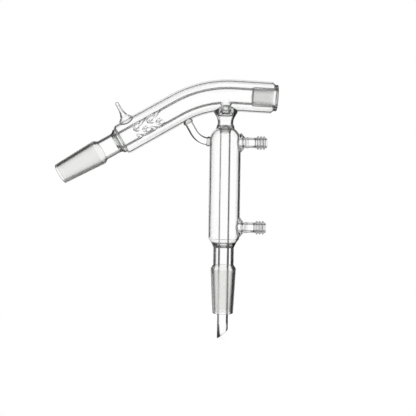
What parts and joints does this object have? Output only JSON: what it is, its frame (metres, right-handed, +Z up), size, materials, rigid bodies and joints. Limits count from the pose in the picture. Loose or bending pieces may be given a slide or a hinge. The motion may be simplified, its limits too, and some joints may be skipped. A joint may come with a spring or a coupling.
{
  "type": "distillation head",
  "caption": "Fused glass distillation head: jacketed column with inward dents, bent vacuum-jacketed head with thermometer socket, water-jacketed condenser, ground cones and a drip tube.",
  "frame": {"origin": "centre of the wide end (gauge plane) of the receiver cone, on the condenser's axis", "axes": "+Z up the condenser's axis, +X towards its hose connections, Y across the plane of symmetry; the column leans down towards -X"},
  "size_m": [0.2104, 0.03, 0.2458],
  "materials": {
    "clear_glass": "clear fire-polished borosilicate glass",
    "ground_glass": "borosilicate glass, finely ground to a matt white taper",
    "fused_seal": "thick clear glass, uneven where tubes were fused by flame"
  },
  "bodies": {
    "root": {"column_cone": "ground_glass", "column_stem": "clear_glass", "column_ring_seal": "fused_seal", "vigreux_tube": "clear_glass", "column_jacket": "clear_glass", "evacuation_tip": "clear_glass", "vapour_tube": "clear_glass", "head_jacket": "clear_glass", "thermometer_socket": "ground_glass", "socket_rim": "clear_glass", "vapour_spout": "clear_glass", "neck_seal": "fused_seal", "neck_tube": "clear_glass", "condenser_top_seal": "fused_seal", "condenser_jacket": "clear_glass", "condenser_tube": "clear_glass", "water_outlet": "clear_glass", "water_inlet": "clear_glass", "lower_ring_seal": "fused_seal", "receiver_stem": "clear_glass", "receiver_cone": "ground_glass", "drip_tube": "clear_glass", "support_bridge": "clear_glass", "bridge_top_pad": "fused_seal", "bridge_low_pad": "fused_seal"}
  },
  "joints": []
}
